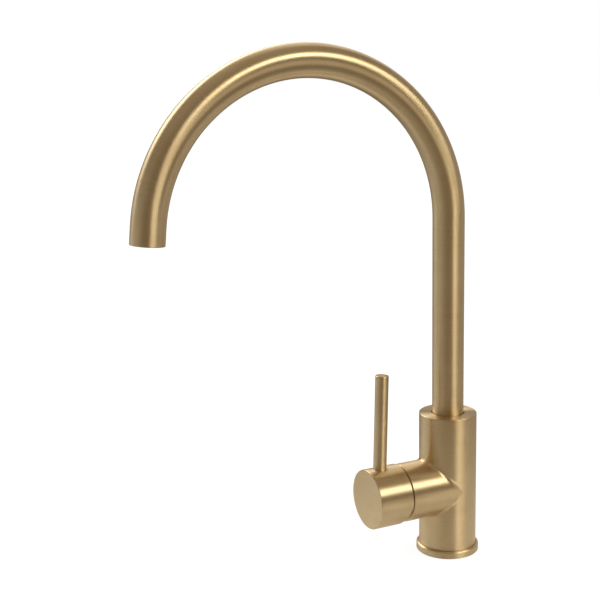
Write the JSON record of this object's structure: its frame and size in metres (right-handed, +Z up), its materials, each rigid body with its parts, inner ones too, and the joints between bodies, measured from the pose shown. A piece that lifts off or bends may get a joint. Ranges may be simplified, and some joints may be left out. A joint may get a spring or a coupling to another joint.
{
  "type": "gooseneck mixer tap",
  "caption": "Deck-mounted single-lever mixer tap with a tall swivelling gooseneck tube, a round body and a front pin lever, in brushed brass.",
  "frame": {"origin": "centre of the body's underside, on the worktop's top face", "axes": "+Z up along the column; the spout at rest and the lever's boss both point towards -Y; X across"},
  "size_m": [0.0504, 0.2823, 0.4695],
  "materials": {
    "brushed_brass": "fine brushed satin, gold toned",
    "raw_brass": "turned, uncoated",
    "steel": "plain turned or zinc plated",
    "rubber": "matt black",
    "pale_polymer": "moulded, off-white",
    "dark_polymer": "moulded, dark",
    "ceramic": null
  },
  "bodies": {
    "body": {"mixer_body": "brushed_brass", "base_ring": "brushed_brass", "base_seal": "rubber", "glide_washer": "pale_polymer", "spout_bush": "dark_polymer", "spout_set_screw": "steel", "port_gasket": "rubber", "cartridge_base": "pale_polymer", "fixed_disc": "ceramic", "cartridge_housing": "pale_polymer", "cartridge_nut": "raw_brass", "cartridge_cover": "brushed_brass", "fixing_stud": "steel", "rubber_horseshoe": "rubber", "steel_horseshoe": "steel", "stud_nut": "steel"},
    "spout": {"spout_tube": "brushed_brass", "spout_spigot": "raw_brass", "spigot_seal_lower": "rubber", "spigot_seal_upper": "rubber", "aerator_housing": "pale_polymer", "aerator_screen": "steel", "aerator_insert": "dark_polymer", "aerator_seal": "rubber"},
    "rotor": {"cartridge_rotor": "pale_polymer", "stem_pin": "steel"},
    "handle": {"cartridge_stem": "raw_brass", "handle_hub": "brushed_brass", "lever_pin": "brushed_brass", "hub_set_screw": "steel"},
    "disc": {"moving_disc": "ceramic", "disc_carrier": "pale_polymer"}
  },
  "joints": [
    {"name": "spout_swivel", "type": "hinge", "parent": "body", "child": "spout", "pos_m": [0, 0, 0.09], "axis": [0, 0, 1], "continuous": true},
    {"name": "lever_turn", "type": "hinge", "parent": "body", "child": "rotor", "pos_m": [0, -0.04, 0.0555], "axis": [0, -1, 0], "range_deg": [-45, 45]},
    {"name": "lever_lift", "type": "hinge", "parent": "rotor", "child": "handle", "pos_m": [0, -0.04, 0.0555], "axis": [1, 0, 0], "range_deg": [0, 16]},
    {"name": "disc_slide", "type": "slide", "parent": "rotor", "child": "disc", "axis": [0, 0, 1], "range_m": [0, 0.00265]}
  ],
  "couplings": [
    {"joint": "disc_slide", "follows": "lever_lift", "m_per_rad": 0.0094}
  ]
}
